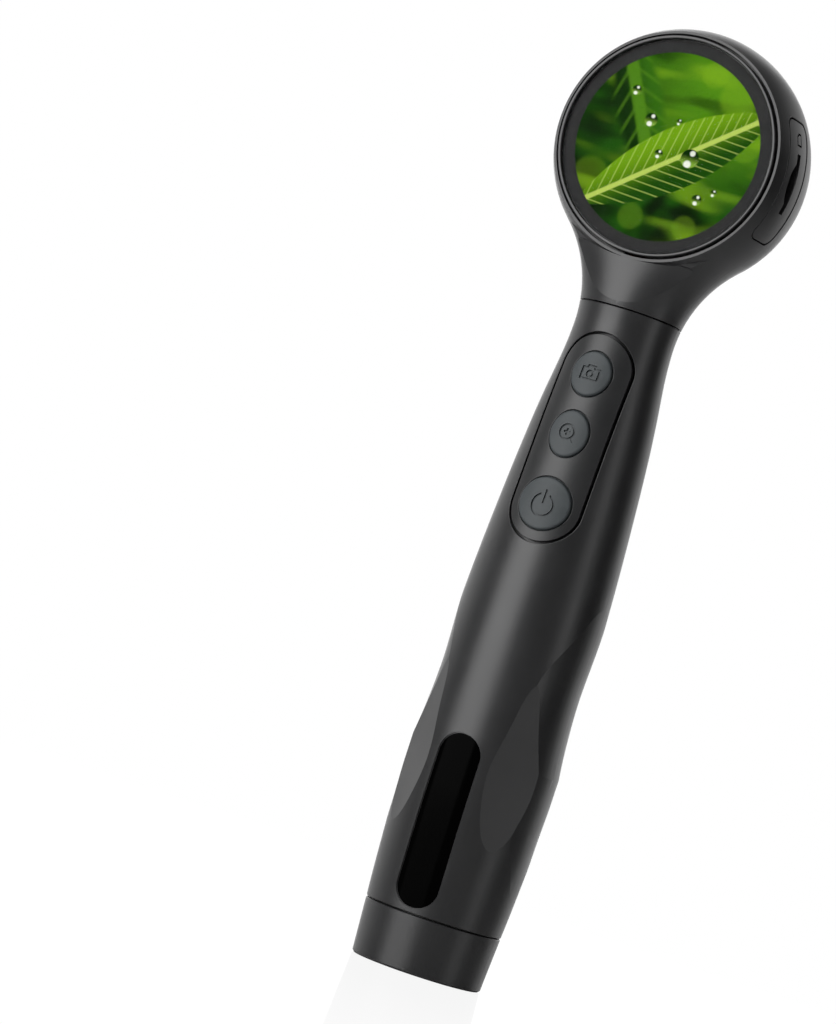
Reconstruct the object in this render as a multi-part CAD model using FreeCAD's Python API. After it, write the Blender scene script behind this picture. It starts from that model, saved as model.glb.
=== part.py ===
import FreeCAD, Part
import os
from math import cos, pi, radians, sin, sqrt

V = FreeCAD.Vector
os.makedirs("parts", exist_ok=True)

# A wand with a round display head. It stands on its tail: Z runs up the handle from the tail's flat
# face, the display looks towards -Y, the lens towards +Y, and the card slot is at +X. All sizes in mm.

# Outline of the wand
head_radius = 27.0
head_rise = 39.0            # centre of the head above the waist
waist_height = 140.0
waist_radius = 10.8
seam_rise = 4.2             # neck seam above the waist
neck_wall = 2.2             # round the neck's bore at the waist
tail_length = 12.0
tail_wall = 1.8             # of the flat face's radius, over the battery's bore
tail_flare = 0.7            # how much wider the tail cap is at its seam
seam_gap = 0.25
seam_edge = 0.15            # small chamfers along the seams
tail_round = 0.4
spigot_length = 7.0         # of the tail cap, up inside the handle

# Battery, its sleeve and the bore that takes them
battery_radius = 9.2
battery_length = 65.2
spring_room = 3.0           # from the spigot's end to the cell
sleeve_gap = 0.3
sleeve_wall = 0.8
sleeve_ribs = 4
rib_width = 1.6
bore_clearance = 0.15
rib_height = 1.75
contact_room = 4.8          # over the cell, for its contact and the contact's holder
cell_cap_radius = 3.2
cell_cap_height = 1.2
cell_groove = (5.0, 4.2, 0.5)       # its ends under the cell's top, and its depth
contact_radius = 6.0
contact_nub = 2.0
nub_height = 0.6
contact_plate = 1.0
holder_thickness = 1.8
lead_radius = 0.5
lead_hole = 0.8
lead_side = 2.5
lead_back = 7.5             # behind the axis, where the leads leave the contact
lead_bend = 4.0
flex_width = 5.0
flex_thickness = 0.25
flex_plane = 4.6            # ahead of the axis, where it passes the neck
bore_radius = battery_radius + sleeve_gap + sleeve_wall + rib_height + bore_clearance
tail_radius = bore_radius + tail_wall
battery_base = tail_length + spigot_length + spring_room
bay_top = battery_base + battery_length + contact_room
neck_bore = waist_radius - neck_wall
bore_narrows = waist_height - 6.0

# Wall of the barrel over the bore, by height above the tail face
barrel_walls = ((106.5, 1.63), (86.0, 2.85), (69.0, 3.44), (55.0, 3.72), (43.0, 3.85), (34.0, 3.72),
                (25.0, 3.3))
shoulder_drop = 14.6        # a point of the outline this far under the waist
shoulder_swell = 1.32       # and this much wider than it

# Grip scoops on each side: height above the tail face and wall over the bore at mid side
upper_scoop = ((92.0, 3.5), (84.0, 2.96), (78.0, 2.92), (72.0, 2.74), (64.0, 2.49), (56.3, 2.76),
               (50.0, 3.25), (45.0, 3.9), (40.0, 4.8))
upper_scoop_offset = 3.6
lower_scoop = ((54.0, 4.3), (50.0, 3.75), (47.0, 3.65), (40.6, 3.62), (34.0, 3.4), (28.0, 3.3),
               (21.6, 3.1), (15.3, 2.83), (12.0, 2.65))
lower_scoop_offset = 2.6
front_facet = ((70.0, 4.1), (64.8, 3.5), (54.0, 3.16), (43.5, 2.8), (36.0, 3.1), (29.0, 3.5), (22.0, 4.1))
front_facet_turn = 46.0     # degrees from the front

# Head shell and its openings
wall = 2.0
front_plane = 11.3          # the rim of the shell, ahead of the axis
rear_split = 14.0           # where the rear cover starts
rear_plane = 19.5
rim_wall = 0.5
bezel_gap = 0.45
bezel_proud = 0.65
bezel_depth = 3.1           # of its seat, from the rim
seat_width = 1.12
front_bore_depth = 5.3
chin_rise = ((-2.0, 0.6), (4.0, 5.2), (8.4, 10.5), (11.5, 19.5), (16.0, 40.0))  # above the seam, flattening

# Display stack, from the front
lip_width = 0.75
lip_round = 0.25
glass_rise = 0.35           # of the glass face, ahead of the rim's plane
glass_thickness = 0.8
glass_clearance = 0.1
mask_thickness = 0.1
screen_radius = 20.1        # of the print's opening
panel_radius = 21.4
cell_thickness = 1.9
backlight_thickness = 1.6
tray_floor = 0.8
tray_clearance = 0.2
pad_height = 0.45
pad_radius = 1.5
pad_circle = 15.0
board_thickness = 1.0
board_clearance = 0.3
shield_width = 14.0
shield_height = 5.5
shield_drop = 16.5          # of its lower edge, under the middle of the display
shield_thickness = 2.0
sensor_size = 9.0
sensor_thickness = 1.0

# Columns that carry the board in front and take the rear cover's screws behind
column_radius = 2.2
column_edge = 0.4           # inside the board's edge
column_turns = (45, 135, 225, 315)
screw_clearance = 0.05
board_screw = 0.7           # radii of the screws' shanks and heads, and the heights of the heads
board_screw_head = 1.3
board_head_height = 0.4
board_screw_depth = 5.0
cover_screw = 1.0
cover_screw_head = 1.7
cover_head_height = 1.3
cover_screw_depth = 6.0
cover_head_drop = 1.6       # from the cover's split to under the head
key_screw = 0.6
key_screw_head = 1.3
key_head_height = 0.8
key_post = 1.5
neck_screw_shank = 1.0
neck_screw_head = 1.8
neck_screw_tip = 5.6

# Card and charging ports at the sides
port_height = 26.0
port_front = 7.9            # front edge of the plate ahead of the axis
port_width = 8.2
port_thickness = 1.1
port_gap = 0.25
port_corner = 2.0
port_drop = 0.1             # of the plate's face, under the shell's
port_edge = 0.15            # round the plate's and the pocket's outer edges
card_plane = 4.0
card_slot_length = 13.0
card_slot_width = 1.5
card_length = 15.0
socket_depth = 12.2
socket_height = 1.8
scoop_length = 8.6
scoop_reach = 1.6
scoop_depth = 0.9
usb_length = 9.0
usb_height = 3.2
usb_depth = 7.4
usb_clearance = 0.25

# Focusing lens behind the board
hub_bore = 12.0
hub_wall = 2.0
hub_end = 26.0
flange_gap = 0.8            # between the lens barrel's flange and the hub
lamp_seat = 4.8             # width of the lamp board
nose_gap = 0.9              # between the lamp board and the barrel's nose
nose_wall = 1.1
barrel_wall = 1.7
mount_wall = 2.02
running_clearance = 0.08
ring_clearance = 0.15       # between the hub and the focus ring
flange_start = 21.6
flange_end = 23.4
nose_end = 27.0
pin_radius = 0.8
focus_travel = 1.5          # either way from mid focus, over a quarter turn
ring_start = 19.9
ring_end = 25.6
ring_wall = 2.6
groove_depth = 1.4
knurls = 40
knurl_radius = 0.5

# Hood with its lamps
hood_end = 35.0
hood_wall = 1.5
hood_taper = 0.5
hood_flange = 1.2
lamp_board_thickness = 1.0
lamp_count = 8
lamp_size = 2.0
lamp_height = 0.7
lamp_window_thickness = 0.9
lamp_window_rise = 1.4      # over the lamp board

# Button panel and buttons, heights measured down from the waist
panel_top = 2.2
panel_length = 45.3
panel_width = 15.0
panel_gap = 0.5
panel_thickness = 1.5
panel_edge = 0.15           # round the panel's and its opening's outer edges
skin = 0.5                  # of the panel over a button's flange
flange_thickness = 0.5
flange_margin = 0.8
button_gap = 0.2
button_proud = 0.6
button_travel = 0.4
button_round = 0.45
camera_drop, camera_width, camera_height = 10.9, 8.5, 9.7
zoom_drop, zoom_width, zoom_height = 24.2, 8.3, 10.0
power_drop, power_width, power_height = 39.5, 11.2, 11.2
icon_depth = 0.4
icon_line = 0.45
camera_frame = (2.1, 1.5, 1.35)     # half its width, and its reach below and above the middle
camera_crown = (1.0, 1.85)
camera_lens = 0.65
zoom_lens = 1.55
zoom_shift = (-0.25, 0.3)
zoom_plus = 0.75
zoom_handle = (0.2, 1.45, 2.75)
power_ring = 2.35
power_ring_drop = 0.4
power_gap = 0.95
power_bar = (0.24, -0.1, 2.9)
card_mark_rise = 9.4        # above the slot's middle
card_mark_size = (2.0, 2.7)
card_mark_line = 0.3
card_mark_cut = (0.8, 0.8)  # of its clipped corner
key_board_front = 7.4
key_board_width = 8.0
switch_size = 4.5
switch_height = 1.2
key_board_thickness = 1.0
plunger_radius = 1.4
plunger_gap = 0.2

# Bare glossy inlay low on the front
inlay_width = 9.1
inlay_rise = 1.2            # over the tail seam
inlay_length = 37.1
inlay_depth = 1.2
inlay_drop = 0.12
inlay_gap = 0.1
inlay_step = 0.3

# Tail cap
spigot_wall = 1.7
tail_floor = 2.5
seal_rise = 1.5             # over the tail seam
seal_width = 1.6
seal_depth = 0.8
contact_thickness = 0.6
contact_margin = 2.5        # of the contact disc round the spring
spring_radius = 5.5
spring_wire = 0.5
spring_turns = 5

# Places worked out from the sizes above
head_height = waist_height + head_rise
seam_height = waist_height + seam_rise
rim_radius = sqrt(head_radius ** 2 - front_plane ** 2)
bezel_bore = rim_radius - rim_wall
bezel_radius = bezel_bore - bezel_gap
bezel_seat = -front_plane + bezel_depth
lip_top = -front_plane - bezel_proud
lip_radius = bezel_radius - lip_width
glass_top = -front_plane - glass_rise
glass_back = glass_top + glass_thickness
mask_back = glass_back + mask_thickness
cell_back = mask_back + cell_thickness
tray_front = cell_back + backlight_thickness
tray_back = tray_front + tray_floor
board_front = tray_back + pad_height
board_back = board_front + board_thickness
front_bore = bezel_bore - seat_width
board_radius = front_bore - board_clearance
column_circle = board_radius - column_radius - column_edge
port_face = head_radius - port_drop
port_back = head_radius - port_thickness - port_drop
inlay_base = tail_length + inlay_rise
flange_radius = hub_bore - flange_gap
lamp_hole = hub_bore - lamp_seat
nose_radius = lamp_hole - nose_gap
barrel_bore = nose_radius - nose_wall
barrel_radius = barrel_bore + barrel_wall
mount_radius = barrel_radius + running_clearance + mount_wall
ring_bore = hub_bore + hub_wall + ring_clearance
pin_height = (flange_start + flange_end) / 2
pin_reach = ring_bore + groove_depth - 0.2
hood_base = hub_end + hood_flange
lamp_back = hood_base + lamp_board_thickness
window_start = lamp_back + lamp_window_rise
window_end = window_start + lamp_window_thickness


# Plain solids

def box(x0, x1, y0, y1, z0, z1):
    return Part.makeBox(x1 - x0, y1 - y0, z1 - z0, V(x0, y0, z0))


def rod_y(radius, y0, y1, x=0.0, z=None):
    z = head_height if z is None else z
    return Part.makeCylinder(radius, y1 - y0, V(x, y0, z), V(0, 1, 0))


def rod_x(radius, x0, x1, y, z):
    return Part.makeCylinder(radius, x1 - x0, V(x0, y, z), V(1, 0, 0))


def rod_z(radius, z0, z1, x=0.0, y=0.0):
    return Part.makeCylinder(radius, z1 - z0, V(x, y, z0), V(0, 0, 1))


def tube_y(outer, inner, y0, y1):
    return rod_y(outer, y0, y1).cut(rod_y(inner, y0 - 1, y1 + 1))


def tube_z(outer, inner, z0, z1):
    return rod_z(outer, z0, z1).cut(rod_z(inner, z0 - 1, z1 + 1))


def turned_y(edges):
    face = Part.Face(Part.Wire(edges))
    return Part.Solid(face.revolve(V(0, 0, head_height), V(0, 1, 0), 360))


def turned_z(edges, axis_x=0.0):
    face = Part.Face(Part.Wire(edges))
    return Part.Solid(face.revolve(V(axis_x, 0, 0), V(0, 0, 1), 360))


def line(a, b):
    return Part.LineSegment(a, b).toShape()


def arc(a, middle, b):
    return Part.Arc(a, middle, b).toShape()


# Part of a circle about a centre, from one point to another the way the normal turns
def arc_about(centre, normal, start, end):
    circle = Part.Circle(centre, normal, (start - centre).Length)
    first, last = circle.parameter(start), circle.parameter(end)
    if last < first:
        last += 2 * pi
    return Part.ArcOfCircle(circle, first, last).toShape()


def outline_y(points):
    corners = [V(r, y, head_height) for r, y in points]
    return [line(a, b) for a, b in zip(corners, corners[1:] + corners[:1])]


def outline_z(points):
    corners = [V(r, 0, z) for r, z in points]
    return [line(a, b) for a, b in zip(corners, corners[1:] + corners[:1])]


def spline(points):
    curve = Part.BSplineCurve()
    curve.interpolate(points)
    return curve.toShape()


def stadium_y(width, z0, z1, y0, y1):
    half = width / 2
    low, high = z0 + half, z1 - half
    body = box(-half, half, y0, y1, low, high)
    return body.fuse([rod_y(half, y0, y1, 0, low), rod_y(half, y0, y1, 0, high)]).removeSplitter()


def oval_y(width, height, z, y0, y1):
    if abs(width - height) < 1e-6:
        edge = Part.makeCircle(width / 2, V(0, y0, z), V(0, 1, 0))
    else:
        ellipse = Part.Ellipse(V(0, y0, z + height / 2), V(width / 2, y0, z), V(0, y0, z))
        edge = ellipse.toShape()
    return Part.Face(Part.Wire(edge)).extrude(V(0, y1 - y0, 0))


# The head's outline, in the plane of X and Z

def neck_arc_radius():
    reach = waist_radius ** 2 + head_rise ** 2 - head_radius ** 2
    return reach / (2 * (head_radius - waist_radius))


def neck_radius(z):
    bend = neck_arc_radius()
    return waist_radius + bend - sqrt(bend ** 2 - (z - waist_height) ** 2)


def neck_point(z):
    return V(neck_radius(z), 0, z)


def tangent_point():
    bend = neck_arc_radius()
    share = head_radius / (head_radius + bend)
    return V(share * (waist_radius + bend), 0, head_height - share * head_rise)


def head_blank():
    base = seam_height + seam_gap / 2
    touch = tangent_point()
    top = V(0, 0, head_height + head_radius)
    edges = [line(V(0, 0, base), neck_point(base)),
             arc(neck_point(base), neck_point((base + touch.z) / 2), touch),
             arc_about(V(0, 0, head_height), V(0, -1, 0), touch, top),
             line(top, V(0, 0, base))]
    return turned_z(edges)


# What comes off the neck's front, so that it opens out towards the display's flat rim
def chin_waste():
    rings = []
    for rise, extra in chin_rise:
        centre = V(0, extra, seam_height + rise)
        rings.append(Part.Wire(Part.makeCircle(front_plane + extra, centre, V(0, 0, 1))))
    keep = Part.makeLoft(rings, True, False)
    reach = head_radius + 3
    block = box(-reach, reach, -reach, 0, seam_height - 1, tangent_point().z)
    return block.cut(keep).cut(Part.makeSphere(head_radius + 0.05, V(0, 0, head_height)))


# The handle's outline from the waist down to the tail seam, moved out by the offset

def barrel_edge(offset):
    points = [V(waist_radius + offset, 0, waist_height),
              V(waist_radius + shoulder_swell + offset, 0, waist_height - shoulder_drop)]
    points += [V(bore_radius + thick + offset, 0, z) for z, thick in barrel_walls]
    points.append(V(tail_radius + tail_flare + offset, 0, tail_length))
    curve = Part.BSplineCurve()
    curve.interpolate(Points=points, InitialTangent=V(0, 0, -1), FinalTangent=V(-0.08, 0, -1))
    return curve.toShape()


# The barrel as a round solid, without the grip's scoops
def barrel(offset=0.0):
    top = seam_height - seam_gap / 2
    centre = (top + waist_height) / 2
    high = V(neck_radius(top) + offset, 0, top)
    middle = V(neck_radius(centre) + offset, 0, centre)
    low = V(waist_radius + offset, 0, waist_height)
    foot = V(tail_radius + tail_flare + offset, 0, tail_length)
    edges = [line(V(0, 0, top), high), arc(high, middle, low), barrel_edge(offset),
             line(foot, V(0, 0, tail_length)), line(V(0, 0, tail_length), V(0, 0, top))]
    return turned_z(edges)


def barrel_at(z, offset=0.0):
    if z >= waist_height:
        return neck_radius(z) + offset
    level = Part.makeLine(V(0, 0, z), V(60, 0, z))
    return barrel_edge(offset).distToShape(level)[1][0][0].x


# The grip's scoops and facets

def scoop_cut(profile, offset, side):
    bottom, top = profile[-1][0], profile[0][0]
    axis = -side * offset
    points = [V(axis + side * (bore_radius + thick + offset), 0, z) for z, thick in profile]
    keep = turned_z([line(V(axis, 0, top), points[0]), spline(points),
                     line(points[-1], V(axis, 0, bottom)), line(V(axis, 0, bottom), V(axis, 0, top))], axis)
    reach = bore_radius + 12
    block = box(0, reach, -reach, reach, bottom, top)
    if side < 0:
        block = box(-reach, 0, -reach, reach, bottom, top)
    return block.cut(keep)


def facet_cut(side):
    points = [V(0, -(bore_radius + thick), z) for z, thick in front_facet]
    far = -(bore_radius + 12)
    edges = [spline(points), line(points[-1], V(0, far, points[-1].z)),
             line(V(0, far, points[-1].z), V(0, far, points[0].z)), line(V(0, far, points[0].z), points[0])]
    slab = Part.Face(Part.Wire(edges)).extrude(V(2 * bore_radius, 0, 0))
    slab.translate(V(-bore_radius, 0, 0))
    slab.rotate(V(0, 0, 0), V(0, 0, 1), side * front_facet_turn)
    return slab


# What a chamfer takes off the outer edge of a round end, above or below it
def end_chamfer(radius, z, way):
    inner, outer = radius - seam_edge, radius + 1.0
    return turned_z([line(V(inner, 0, z), V(outer, 0, z)),
                     line(V(outer, 0, z), V(outer, 0, z - way * (outer - inner))),
                     line(V(outer, 0, z - way * (outer - inner)), V(inner, 0, z))])


def handle_body():
    top = seam_height - seam_gap / 2
    body = barrel().cut(end_chamfer(neck_radius(top), top, 1))
    body = body.cut(end_chamfer(tail_radius + tail_flare, tail_length, -1))
    for side in (1, -1):
        body = body.cut(scoop_cut(upper_scoop, upper_scoop_offset, side))
        body = body.cut(scoop_cut(lower_scoop, lower_scoop_offset, side))
        body = body.cut(facet_cut(side))
    return body


# Buttons: name, height, width, length
def buttons():
    return [("camera", waist_height - camera_drop, camera_width, camera_height),
            ("zoom", waist_height - zoom_drop, zoom_width, zoom_height),
            ("power", waist_height - power_drop, power_width, power_height)]


def panel_outline(margin):
    top = waist_height - panel_top + margin
    return stadium_y(panel_width + 2 * margin, top - panel_length - 2 * margin, top, -40, 0)


def bore_at(z):
    if z <= bay_top:
        return bore_radius
    share = min(1.0, (z - bay_top) / (bore_narrows - bay_top))
    return bore_radius + share * (neck_bore - bore_radius)


def handle_bore():
    base = tail_length - 1
    top = seam_height + 1
    return turned_z(outline_z([(0, base), (bore_radius, base), (bore_radius, bay_top),
                               (neck_bore, bore_narrows), (neck_bore, top), (0, top)]))


def key_posts():
    (_, camera, _, tall_c), (_, zoom, _, tall_z), (_, power, _, tall_p) = buttons()
    upper = (camera - tall_c / 2 + zoom + tall_z / 2) / 2
    lower = (zoom - tall_z / 2 + power + tall_p / 2) / 2
    return (upper, lower)


def inlay_outline(margin):
    return stadium_y(inlay_width + 2 * margin, inlay_base - margin, inlay_base + inlay_length + margin,
                     -40, 0)


def coupler_heights():
    return (waist_height - 5.5, head_height - head_radius + wall + 0.4)


def neck_screw_heights():
    return (waist_height - 1.5, seam_height + 5.0)


# One screw from behind through the neck: head, shank and the holes that take them
def neck_screw(z, margin):
    surface = neck_radius(z)
    head = rod_y(neck_screw_head + 2 * margin, surface - 1.5, surface + (5 if margin else -0.3), 0, z)
    shank = rod_y(neck_screw_shank + margin, neck_screw_tip, surface - 1.4, 0, z)
    return head.fuse(shank)


# Whether an edge lies on the barrel's front, moved out by the offset
def on_barrel(edge, offset):
    middle = edge.valueAt((edge.FirstParameter + edge.LastParameter) / 2)
    places = [middle] + [v.Point for v in edge.Vertexes]
    return all(p.y < 0 and sqrt(p.x ** 2 + p.y ** 2) > barrel_at(p.z, offset) - 0.02 for p in places)


# Whether an edge runs round the button panel's opening
def round_panel(edge):
    top = waist_height - panel_top + panel_gap
    low = top - panel_length - 2 * panel_gap
    bounds = edge.BoundBox
    return bounds.ZMin > low - 0.1 and bounds.ZMax < top + 0.1 and on_barrel(edge, 0.0)


def handle_shell():
    shell = handle_body().cut(handle_bore())
    shell = shell.cut(panel_outline(panel_gap).cut(barrel(-panel_thickness)))
    shell = shell.makeFillet(panel_edge, [e for e in shell.Edges if round_panel(e)])
    for name, z, width, height in buttons():
        margin = 2 * (flange_margin - 0.15)
        shell = shell.cut(oval_y(width - margin, height - margin, z, -40, 0))
    for z in key_posts():
        post = rod_y(key_post, -(bore_at(z) + 0.5), -key_board_front, 0, z)
        shell = shell.fuse(post)
        shell = shell.cut(rod_y(key_screw + screw_clearance, -(bore_at(z) - 0.2), 0, 0, z))
    pocket = inlay_outline(inlay_gap).cut(barrel(-inlay_depth))
    step = inlay_outline(inlay_step).cut(barrel(-0.2))
    shell = shell.cut(pocket).cut(step)
    shell = shell.cut(neck_screw(neck_screw_heights()[0], 0.1))
    return shell.removeSplitter()


def button_panel():
    panel = panel_outline(0).common(barrel()).cut(barrel(-panel_thickness))
    for name, z, width, height in buttons():
        panel = panel.cut(oval_y(width + 2 * button_gap, height + 2 * button_gap, z, -40, 0))
        wide = 2 * (flange_margin + button_gap)
        panel = panel.cut(oval_y(width + wide, height + wide, z, -40, 0).common(barrel(-skin)))
    return panel.makeFillet(panel_edge, [e for e in panel.Edges if on_barrel(e, 0.0)])


def ring_icon(radius, line_width, x, z):
    return rod_y(radius + line_width / 2, -40, 0, x, z).cut(rod_y(radius - line_width / 2, -41, 1, x, z))


def camera_icon(z):
    half, low, high = camera_frame
    crown, top = camera_crown
    t = icon_line
    outer = box(-half, half, -40, 0, z - low, z + high).fuse(box(-crown, crown, -40, 0, z, z + top))
    inner = box(-half + t, half - t, -41, 1, z - low + t, z + high - t)
    inner = inner.fuse(box(-crown + t, crown - t, -41, 1, z, z + top - t))
    return [outer.cut(inner), ring_icon(camera_lens, icon_line, 0, z - (low - high) / 2)]


def zoom_icon(z):
    x, up = zoom_shift[0], z + zoom_shift[1]
    half, near, far = zoom_handle
    handle = box(-half, half, -40, 0, -far, -near)
    handle.rotate(V(0, 0, 0), V(0, 1, 0), -45)
    handle.translate(V(x, 0, up))
    t, reach = icon_line / 2, zoom_plus
    return [ring_icon(zoom_lens, icon_line, x, up), handle,
            box(x - reach, x + reach, -40, 0, up - t, up + t),
            box(x - t, x + t, -40, 0, up - reach, up + reach)]


def power_icon(z):
    ring = ring_icon(power_ring, icon_line, 0, z - power_ring_drop)
    gap = box(-power_gap, power_gap, -41, 1, z, z + 2 * power_ring)
    half, low, top = power_bar
    return [ring.cut(gap), box(-half, half, -40, 0, z + low, z + top)]


def button(name, z, width, height):
    prism = oval_y(width, height, z, -40, 0)
    cap = prism.common(barrel(button_proud)).cut(barrel(-skin - 0.05 - flange_thickness / 2))
    cap = cap.makeFillet(button_round, [e for e in cap.Edges if on_barrel(e, button_proud)])
    wide = 2 * flange_margin
    flange = oval_y(width + wide, height + wide, z, -40, 0).common(barrel(-skin - 0.05))
    flange = flange.cut(barrel(-skin - 0.05 - flange_thickness))
    body = cap.fuse(flange)
    skin_zone = barrel(button_proud - icon_depth)
    for mark in {"camera": camera_icon, "zoom": zoom_icon, "power": power_icon}[name](z):
        body = body.cut(mark.cut(skin_zone))
    return body


def plunger(name, z, width, height):
    tip = -key_board_front - switch_height + button_travel - 0.1
    stem = rod_y(plunger_radius, -40, tip, 0, z)
    return stem.common(barrel(-skin - 0.05 - flange_thickness))


def key_board():
    half = key_board_width / 2
    low = waist_height - panel_top - panel_length + 2
    back = -key_board_front + key_board_thickness
    board = box(-half, half, -key_board_front, back, low, bore_narrows - 1.0)
    for z in key_posts():
        board = board.cut(rod_y(key_screw + 4 * screw_clearance, -10, 0, 0, z))
    return board


def key_switches():
    solids = []
    half = switch_size / 2
    front = -key_board_front - switch_height
    for name, z, width, height in buttons():
        case = box(-half, half, front, -key_board_front, z - half, z + half)
        well = rod_y(plunger_radius + plunger_gap, front - 1, front + 2 * button_travel + 0.1, 0, z)
        solids.append(case.cut(well))
    return Part.makeCompound(solids)


def key_screws():
    solids = []
    for z in key_posts():
        back = -key_board_front + key_board_thickness
        head = rod_y(key_screw_head, back, back + key_head_height, 0, z)
        solids.append(head.fuse(rod_y(key_screw, -(bore_at(z) - 0.6), back, 0, z)))
    return Part.makeCompound(solids)


def badge_inlay():
    return inlay_outline(0).common(barrel(-inlay_drop)).cut(barrel(-inlay_depth))


# Battery and its holder

def battery_cell():
    top = battery_base + battery_length
    cell = rod_z(battery_radius, battery_base, top - cell_cap_height)
    low, high, deep = cell_groove
    groove = tube_z(battery_radius + 1, battery_radius - deep, top - low, top - high)
    return cell.cut(groove).fuse(rod_z(cell_cap_radius, top - cell_cap_height, top))


def battery_sleeve():
    inner = battery_radius + sleeve_gap
    low, high = battery_base - 1.0, battery_base + battery_length
    sleeve = tube_z(inner + sleeve_wall, inner, low, high)
    for i in range(sleeve_ribs):
        rib = box(inner + 0.2, bore_radius - bore_clearance, -rib_width / 2, rib_width / 2, low, high)
        rib.rotate(V(0, 0, 0), V(0, 0, 1), 45 + 360 * i / sleeve_ribs)
        sleeve = sleeve.fuse(rib)
    return sleeve.removeSplitter()


def contact_holder():
    top = battery_base + battery_length
    low = top + nub_height + contact_plate
    disc = rod_z(bore_radius - bore_clearance, low, low + holder_thickness)
    for x in (-lead_side, lead_side):
        disc = disc.cut(rod_z(lead_hole, low - 1, low + holder_thickness + 1, x, lead_back))
    return disc


def positive_contact():
    top = battery_base + battery_length
    plate = rod_z(contact_radius, top + nub_height, top + nub_height + contact_plate)
    return plate.fuse(rod_z(contact_nub, top, top + nub_height))


# Tail cap, which unscrews to change the cell

def tail_cap():
    rim = tail_radius + tail_flare
    seam = tail_length - seam_gap
    inner = bore_radius - running_clearance - spigot_wall
    spigot = bore_radius - running_clearance
    top = tail_length + spigot_length
    groove = tail_length + seal_rise
    return turned_z(outline_z([
        (0, 0), (tail_radius - tail_round, 0), (tail_radius, tail_round), (rim, seam - seam_edge),
        (rim - seam_edge, seam), (spigot, seam), (spigot, groove), (spigot - seal_depth, groove),
        (spigot - seal_depth, groove + seal_width), (spigot, groove + seal_width), (spigot, top),
        (inner, top), (inner, tail_floor), (0, tail_floor)]))


def tail_seal():
    spigot = bore_radius - running_clearance
    groove = tail_length + seal_rise
    return tube_z(spigot, spigot - seal_depth, groove + 0.05, groove + seal_width - 0.05)


def tail_contact_disc():
    return rod_z(spring_radius + contact_margin, tail_floor, tail_floor + contact_thickness)


def tail_spring():
    low = tail_floor + contact_thickness + spring_wire
    height = battery_base - spring_wire - 0.05 - low
    helix = Part.makeHelix(height / spring_turns, height, spring_radius)
    circle = Part.Wire(Part.makeCircle(spring_wire, V(spring_radius, 0, 0), V(0, 1, 0)))
    coil = Part.Wire(helix).makePipeShell([circle], True, True)
    coil.translate(V(0, 0, low))
    return coil


# Neck joint

def neck_coupler():
    low, high = coupler_heights()
    tube = tube_z(neck_bore - bore_clearance, neck_bore - 2.0, low, high)
    for z in neck_screw_heights():
        tube = tube.cut(rod_y(neck_screw_shank + screw_clearance, 0, 20, 0, z))
    return tube


def neck_screws():
    return Part.makeCompound([neck_screw(z, 0) for z in neck_screw_heights()])


# Head

def column_places():
    return [(column_circle * cos(radians(a)), head_height + column_circle * sin(radians(a)))
            for a in column_turns]


def port_outline(side, margin, inner, outer):
    z0 = head_height - port_height / 2 - margin
    z1 = head_height + port_height / 2 + margin
    y0 = -port_front - margin
    y1 = -port_front + port_width + margin
    block = box(5, head_radius + 2, y0, y1, z0, z1)
    block = block.makeFillet(port_corner + margin, [e for e in block.Edges if e.BoundBox.XLength > 3])
    if side < 0:
        block = block.mirror(V(0, 0, 0), V(1, 0, 0))
    shell = Part.makeSphere(outer, V(0, 0, head_height)).cut(Part.makeSphere(inner, V(0, 0, head_height)))
    return block.common(shell)


# Whether an edge lies all on a sphere about the head's centre
def on_sphere(edge, radius):
    centre = V(0, 0, head_height)
    middle = edge.valueAt((edge.FirstParameter + edge.LastParameter) / 2)
    places = [middle] + [v.Point for v in edge.Vertexes]
    return all(abs((p - centre).Length - radius) < 0.01 for p in places)


# Whether an edge runs round the pocket of a port plate
def round_port(edge, side):
    bounds = edge.BoundBox
    margin = port_gap + 0.1
    height = port_height / 2 + margin
    return (bounds.Center.x * side > 0 and bounds.YMin > -port_front - margin
            and bounds.YMax < port_width - port_front + margin
            and bounds.ZMin > head_height - height and bounds.ZMax < head_height + height)


def card_slot(margin):
    half = card_slot_length / 2 + margin
    deep = card_slot_width / 2 + margin
    return box(head_radius - 8, head_radius + 2, -card_plane - deep, -card_plane + deep,
               head_height - half, head_height + half)


def usb_plane():
    return board_back + usb_height / 2


def usb_hole(margin):
    width, height = usb_length + 2 * margin, usb_height + 2 * margin
    flat = width / 2 - height / 2
    z, y = head_height, usb_plane()
    hole = box(-head_radius - 2, -head_radius + 8, y - height / 2, y + height / 2, z - flat, z + flat)
    for end in (z - flat, z + flat):
        hole = hole.fuse(rod_x(height / 2, -head_radius - 2, -head_radius + 8, y, end))
    return hole


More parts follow.
